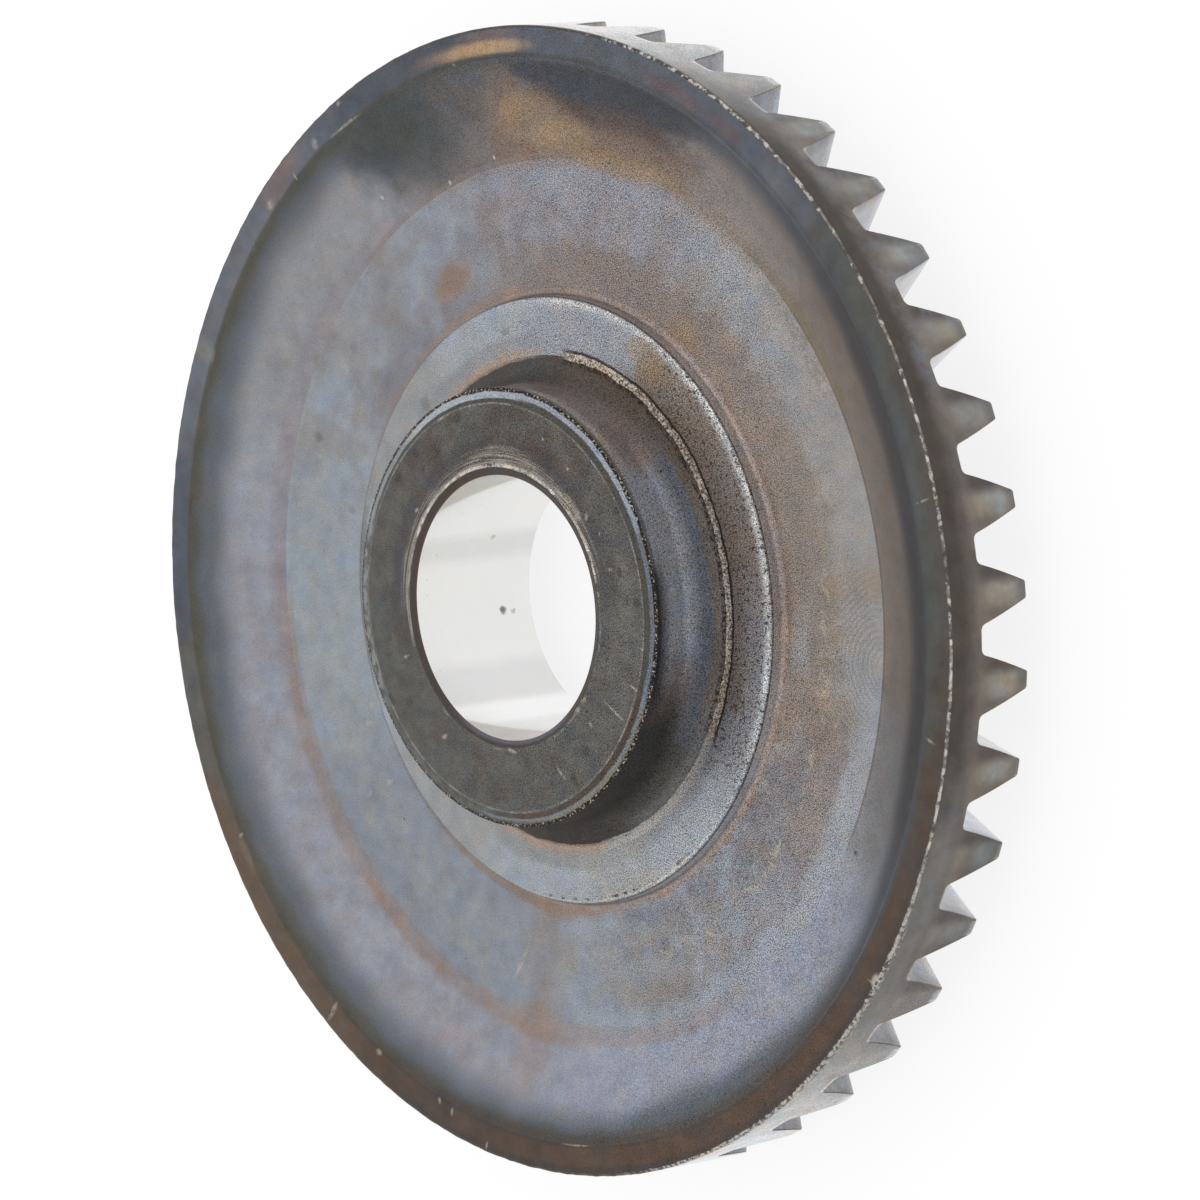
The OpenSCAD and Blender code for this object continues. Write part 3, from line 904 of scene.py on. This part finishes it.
hub_side.paint(
    ((114, 107, 101), hub_side.rising("Radius", 12.45, 13.0), sector(8, 16, 12), 0.8),
    ((86, 86, 85), hub_side.rising("Radius", 12.0, 12.2), sector(102, 12, 12), 0.8),
    ((112, 111, 111), hub_side.rising("Radius", 12.5, 13.1), sector(-42, 18, 12), 0.9),
    ((72, 69, 68), hub_side.rising("Radius", 12.05, 12.6), sector(-98, 16, 12), 0.9),
    ((164, 146, 134), band(13.4, 13.9, 0.08), sector(110, 12, 10), 0.8),
    ((164, 146, 134), band(13.42, 13.9, 0.08), sector(-98, 16, 12), 0.8),
    ((166, 164, 162), band(13.36, 13.9, 0.08), sector(-52, 22, 10), 0.9),
    ((60, 48, 43), band(13.12, 13.42, 0.08, 0.45), flecks(0.22, 0.6, 6.0), sector(24, 54, 5), 0.9),
    ((150, 136, 125), band(13.38, 13.9, 0.05, 0.4), sector(24, 54, 5), 0.8),
    ((204, 193, 180), band(13.38, 13.9, 0.05, 0.4), sector(24, 54, 5), flecks(0.2, 0.72, 8.0)),
    ((60, 48, 43), band(13.3, 13.9, 0.05, 0.4), sector(24, 54, 5), flecks(0.18, 0.46, 4.0), 0.85),
)
hub_side.finish(0.75, 0.5)

# The flat bevel round the hub's face was turned last. It carries a painted blue highlight band along its
# rounding, between a darker line and a black burr with bright flecks.
hub_edge = Finish("hub_edge", tone(82, 80, 75), 0.4)
hub_edge.paint(
    ((140, 144, 145), sector(178, 18, 16), mottle(0.9, 3.0), 0.9),
    ((112, 114, 112), sector(-104, 30, 16), mottle(0.8, 9.0), 0.6),
    # A painted highlight: the blue band along the bevel's rounding.
    ((146, 152, 154), band(11.5, 11.74, 0.1, 0.2), sector(134, 18, 12), 0.85),
    ((166, 175, 180), band(11.5, 11.76, 0.1, 0.2), sector(102, 18, 12), 0.95),
    ((158, 163, 176), band(11.6, 11.79, 0.08, 0.12), sector(54, 30, 12), 0.85),
    ((114, 120, 132), band(11.6, 11.77, 0.07, 0.12), sector(-6, 20, 12), 0.75),
    ((138, 131, 108), band(11.64, 11.78, 0.06, 0.2), sector(-58, 24, 12), 0.75),
    ((120, 130, 138), band(11.54, 11.66, 0.06, 0.2), sector(-64, 36, 12), 0.75),
    ((84, 68, 58), band(11.3, 11.5, 0.08, 0.15), sector(-60, 30, 12), 0.7),
    (black, band(11.85, 12.3, 0.07, 0.25), 0.9),
    (bare, band(11.85, 12.3, 0.05, 0.12), flecks(0.14, 0.42, 2.0), 0.8),
)
hub_edge.finish(0.6, 0.4)

# The hub's face was machined flat and then oxidised to a dark olive grey. It is scratched and pitted by
# use, and rubbed bright near the bore. The effect that comes first is the fine rings of the rubbing,
# broken up along their length.
tree, given, out = effect("rings", ["Spacing", "Cover"], {"Mask": FLOAT})
here = use(tree, place)
values = {
    0: calc(tree, "DIVIDE", here["Radius"], given["Spacing"]),
    1: calc(tree, "MULTIPLY", here["Angle"], 0.05),
    2: calc(tree, "DIVIDE", here["Height"], given["Spacing"]),
}
streak = cloud(tree, add(tree, "ShaderNodeCombineXYZ", values).outputs[0], 1.0)
top = calc(tree, "MULTIPLY_ADD", given["Cover"], -0.3, 0.75)
end = calc(tree, "ADD", top, 0.1)
put(tree, out["Mask"], rise(tree, streak, calc(tree, "SUBTRACT", top, 0.1), end))
rings_group = tree


def rings(spacing, cover):
    """Fine rings with the given spacing in millimetres."""
    return rings_group, {"Spacing": spacing, "Cover": cover}


hub_face = Finish("hub_face", tone(98, 97, 93), 0.42)
hub_face.paint(
    ((109, 108, 104), stain(-8, 10.0, 4.0, 1.2, 1.4), 0.9),
    ((92, 83, 77), sector(85, 40, 20), mottle(1.4, 7.0)),
    ((84, 81, 82), mottle(1.1, 77.0), 0.5),
    ((82, 72, 68), stain(62, 9.0, 1.8, 0.7, 1.4), 0.8),
    ((82, 79, 80), band(7.9, 8.9, 0.6, 0.8), sector(100, 90, 20), 0.7),
    ((144, 137, 129), rings(0.06, 0.75), band(7.95, 8.25, 0.25, 0.5), sector(95, 72, 20)),
    ((152, 145, 136), rings(0.06, 0.72), stain(82, 8.4, 3.0, 0.4, 1.2)),
    ((140, 134, 126), chatter(74, 7.4, 0.22), stain(79, 8.5, 1.8, 0.35, 1.4), 0.4),
    ((168, 160, 149), rings(0.06, 0.8), stain(44, 8.15, 1.0, 0.35, 1.8), 0.8),
    ((166, 157, 147), rings(0.05, 0.9), band(7.74, 7.92, 0.08, 0.15), sector(105, 78, 16)),
    ((208, 200, 189), band(7.72, 7.84, 0.05, 0.08), sector(80, 66, 16), mottle(0.6, 27.0), 0.95),
    ((142, 136, 128), band(7.76, 7.83, 0.04, 0.08), sector(-70, 86, 16), flecks(1.0, 0.4, 19.0), 0.6),
    ((74, 69, 67), band(7.0, 7.63, 0.05, 0.06), 0.8),
    ((114, 113, 110), band(11.12, 11.4, 0.05, 0.06), 0.6),
    ((142, 140, 136), band(11.14, 11.4, 0.05, 0.1), flecks(1.0, 0.55, 40.0), 0.7),
    ((140, 137, 130), flecks(0.35, 0.05, 17.0), 0.7),
)
for angle, radius, length, width in (
    (1.0, 10.7, 0.25, 0.25),
    (28.0, 10.9, 0.25, 0.25),
    (11.0, 9.7, 0.25, 0.2),
    (-53.0, 9.75, 0.3, 0.25),
    (-63.0, 10.4, 0.2, 0.35),
    (137.0, 10.7, 0.3, 0.2),
    (104.0, 10.7, 0.3, 0.2),
    (-153.0, 11.0, 0.35, 0.2),
):
    hub_face.paint(((74, 74, 72), stain(angle, radius, length, width, 0.7), 0.8))
for angle, radius, length, width, turn in (
    (-34.0, 10.1, 3.0, 0.12, -3.0),
    (-23.5, 10.9, 1.2, 0.12, -6.0),
    (12.5, 9.1, 0.6, 0.2, -40.0),
    (-44.7, 8.95, 0.6, 0.2, -8.0),
    (25.5, 9.1, 0.4, 0.16, 40.0),
    (34.0, 8.75, 0.8, 0.2, 30.0),
    (37.0, 8.2, 1.0, 0.4, 30.0),
    (-67.5, 9.7, 1.6, 0.12, 20.0),
    (51.0, 9.6, 0.35, 0.16, 0.0),
    (65.0, 10.05, 0.35, 0.14, 0.0),
    (97.5, 11.1, 0.5, 0.18, 20.0),
    (111.0, 11.15, 0.7, 0.16, 90.0),
    (140.0, 8.5, 0.5, 0.18, 70.0),
    (-128.5, 9.0, 0.8, 0.2, -30.0),
    (-162.5, 8.75, 0.9, 0.16, 0.0),
    (-40.0, 7.78, 0.9, 0.25, 80.0),
    (-46.0, 7.78, 0.8, 0.25, 100.0),
    (-91.0, 7.8, 1.2, 0.2, 75.0),
    (-12.0, 11.1, 0.5, 0.14, 10.0),
):
    hub_face.paint(((172, 165, 154), scratch(angle, radius, length, width, turn), 0.7))
hub_face.finish(0.8, 0.5, blotch=0.8)

# Each end of the bore has a small turned bevel that leads the spindle in. It is dark with oxide, a little
# blue below and brown above.
bore_edge = Finish("bevel", tone(78, 71, 68), 0.35)
bore_edge.paint(
    ((104, 102, 114), sector(-88, 26, 20), bore_edge.rising("Radius", 7.55, 7.35), 0.8),
    ((96, 76, 66), sector(150, 40, 20), bore_edge.rising("Radius", 7.4, 7.28), 0.7),
)
bore_edge.finish(0.3, 0.3)

# The bore is ground bright to fit a spindle. Painted reflections run along it: a soft shadow line, a grey
# band and a white highlight band. It has a darker wedge at the top and at the bottom, and a few dark specks.
bore = Finish("bore", (0.88, 0.88, 0.865), 0.22)
# Painted reflections: a soft shadow line, a grey band and a white highlight band.
bore.lay((0.74, 0.745, 0.725), sector(155, 2, 8, 2.0), 0.8)
bore.lay((0.77, 0.77, 0.77), sector(-142, 6, 9, 2.0), 0.8)
bore.lay((1.0, 1.0, 1.0), sector(-124, 4, 6, 2.0))
lean = calc(bore.tree, "ABSOLUTE", bore.here["Angle"])
lean = calc(bore.tree, "MULTIPLY_ADD", bore.here["Height"], -5.8, lean)
bore.lay((0.56, 0.54, 0.48), rise(bore.tree, lean, 122.0, 117.0), sector(100, 50, 10, 0.0), 0.9)
bore.lay((0.62, 0.58, 0.55), rise(bore.tree, lean, 111.0, 107.0), sector(-100, 50, 10, 0.0), 0.9)
bore_degree = math.radians(bore_r)
for angle, height, reach, share in (
    (-175.0, -3.9, 0.3, 0.85),
    (-174.0, -4.65, 0.22, 0.4),
    (150.8, -2.8, 0.2, 0.35),
):
    along = calc(bore.tree, "MULTIPLY", calc(bore.tree, "SUBTRACT", bore.here["Angle"], angle), bore_degree)
    across = calc(bore.tree, "SUBTRACT", bore.here["Height"], height)
    away = calc(bore.tree, "MULTIPLY", across, across)
    away = calc(bore.tree, "SQRT", calc(bore.tree, "MULTIPLY_ADD", along, along, away))
    away = jagged(bore.tree, away, bore.here["Point"], 0.2, 0.5)
    bore.paint(((96, 92, 82), rise(bore.tree, away, reach, 0.4 * reach), share))
bore.finish(0.02, 0.0, blotch=0.04, drift=0.1, bump=0.02)

# The outer ends of the teeth and the rim are one turned cylinder, brown near the rim and paler towards
# the tips. Each tooth end is painted paler in its middle and darker at its sides, as light and shade on a
# rounded end, and it carries a painted sheen where it is seen almost edge-on.
heel = Finish("heel", tone(82, 75, 70), 0.42)
pitch_degrees = 360.0 / tooth_count
from_middle = calc(heel.tree, "WRAP", heel.here["Angle"], pitch_degrees / 2, -pitch_degrees / 2)
above_middle = rise(heel.tree, from_middle, 0.3, 1.9)
from_middle = calc(heel.tree, "ABSOLUTE", from_middle)
tooth_middle = rise(heel.tree, from_middle, 0.4, 1.9, 1.0, 0.0)
heel.paint(
    ((76, 76, 71), mottle(1.4, 62.0), 0.6),
    ((118, 110, 103), heel.rising("Height", -0.8, -2.4)),
)
violet = calc(heel.tree, "MULTIPLY", heel.rising("Height", -1.0, -1.5), heel.rising("Height", -2.3, -1.6))
heel.paint(
    ((90, 82, 84), violet, mottle(1.5, 72.0), 0.6),
    # Painted light and shade: paler tooth middles; the pale blue clouds there are partly a painted highlight.
    ((146, 138, 126), tooth_middle, heel.rising("Height", -1.9, -3.4), 0.95),
    ((156, 162, 163), tooth_middle, heel.rising("Height", -2.6, -4.0), mottle(1.6, 29.0), 0.7),
    ((82, 74, 75), above_middle, heel.rising("Height", -1.6, -3.0), sector(0, 50, 20), 0.75),
    ((112, 107, 104), heel.rising("Height", -4.5, -5.5), 0.8),
    ((128, 131, 135), mottle(1.4, 25.0), sector(46, 20, 16), heel.rising("Height", -0.8, -2.0), 0.6),
    ((126, 124, 121), sector(-42, 16, 12), heel.rising("Height", -2.4, -1.3), 0.7),
    ((98, 95, 92), sector(-45, 18, 12), heel.rising("Height", -2.4, -3.2), 0.6),
    (bare, heel.rising("Height", -0.45, -0.3), flecks(0.25, 0.5, 5.0), sector(-54, 18, 10), 0.7),
)
# A painted sheen: paler where the tooth end is seen almost edge-on.
heel.paint_grazing_sheen(0.5, 1.0, (0.88, 0.88, 0.89))
heel.finish(0.45, 0.4, blotch=0.7)

# The flanks and roots of the teeth are cut into the blank and then hardened. They are clean grey steel
# with faint clouds, and a painted sheen where they are seen almost edge-on.
flank = Finish("teeth", (0.3, 0.305, 0.335), 0.38)
flank.lay((0.2, 0.19, 0.185), mottle(0.9, 45.0), 0.6)
# A painted sheen: paler where a flank is seen almost edge-on.
flank.paint_grazing_sheen(0.55, 0.95, (0.85, 0.86, 0.89))
flank.finish(0.35, 0.3)

# The front face and the inner ends of the teeth are turned plain, and carry only the shot-blast grain.
# With them, each zone of the mesh has its finish.
front = Finish("front", (0.27, 0.275, 0.29), 0.42)
front.finish(0.4, 0.4)
for zone in zones:
    mesh.materials.append(finishes[zone])

# A plain pale floor under the gear, matt and painted. The camera sees it almost white, and it keeps a
# faint shadow.
floor_half = 2.0
floor_colour = (0.9, 0.9, 0.9)
floor_roughness = 0.9
floor_white = 1.05
floor_white_share = 0.8
floor_mesh = bpy.data.meshes.new("floor")
floor_signs = ((-1, -1), (1, -1), (1, 1), (-1, 1))
floor_corners = [(sign_x * floor_half, sign_y * floor_half, 0) for sign_x, sign_y in floor_signs]
floor_mesh.from_pydata(floor_corners, [], [(0, 1, 2, 3)])
floor = bpy.data.objects.new("floor", floor_mesh)
bpy.context.scene.collection.objects.link(floor)
floor_finish = bpy.data.materials.new("pale_floor")
floor_finish.use_nodes = True
tree = floor_finish.node_tree
path = add(tree, "ShaderNodeLightPath").outputs
seen = calc(tree, "MAXIMUM", path["Is Camera Ray"], path["Is Glossy Ray"])
seen = calc(tree, "MAXIMUM", seen, path["Is Transmission Ray"])
seen = calc(tree, "MULTIPLY", seen, floor_white_share)
glow = add(tree, "ShaderNodeEmission", {"Color": (1.0, 1.0, 1.0), "Strength": floor_white})
paint = tree.nodes["Principled BSDF"]
put(tree, paint.inputs["Base Color"], floor_colour)
put(tree, paint.inputs["Roughness"], floor_roughness)
mixed = add(tree, "ShaderNodeMixShader", {0: seen, 1: paint.outputs[0], 2: glow.outputs[0]})
put(tree, tree.nodes["Material Output"].inputs["Surface"], mixed.outputs[0])
floor_mesh.materials.append(floor_finish)

# Soft studio light: an even white surround, and one weak square lamp above the gear, which faces it and
# lifts its upper side a little.
world = bpy.data.worlds.new("studio")
bpy.context.scene.world = world
world.use_nodes = True
world.node_tree.nodes["Background"].inputs["Color"].default_value = (1, 1, 1, 1)
world.node_tree.nodes["Background"].inputs["Strength"].default_value = 1.0
lamp_place = (0.2, 0.5, 0.4)
lamp_size = 0.6
lamp_power = 0.4
lamp_data = bpy.data.lights.new("upper_lamp", "AREA")
lamp_data.size = lamp_size
lamp_data.energy = lamp_power
lamp = bpy.data.objects.new("upper_lamp", lamp_data)
lamp.location = lamp_place
lamp.rotation_euler = (-Vector(lamp_place)).to_track_quat("-Z", "Y").to_euler()
bpy.context.scene.collection.objects.link(lamp)

# The camera stands where the photograph was taken from and is turned on its side, because the gear
# lies flat here and stands on its rim there.
view_azimuth = 4.305
view_elevation = 42.314
view_roll = -97.127
view_distance = 367.04
view_aim = (5.112, 0.172, land_lift)
view_lens = 203.98

camera_data = bpy.data.cameras.new("camera")
camera_data.lens = view_lens
camera_data.sensor_width = 36.0
camera_data.clip_start = 0.01
camera = bpy.data.objects.new("camera", camera_data)
bpy.context.scene.collection.objects.link(camera)
turn = (
    Matrix.Rotation(math.radians(view_azimuth + 90), 4, "Z")
    @ Matrix.Rotation(math.radians(90 - view_elevation), 4, "X")
    @ Matrix.Rotation(math.radians(view_roll), 4, "Z")
)
away = turn @ Vector((0, 0, view_distance * MM))
camera.matrix_world = Matrix.Translation(Vector(view_aim) * MM + away) @ turn
bpy.context.scene.camera = camera
bpy.context.scene.view_settings.view_transform = "Standard"
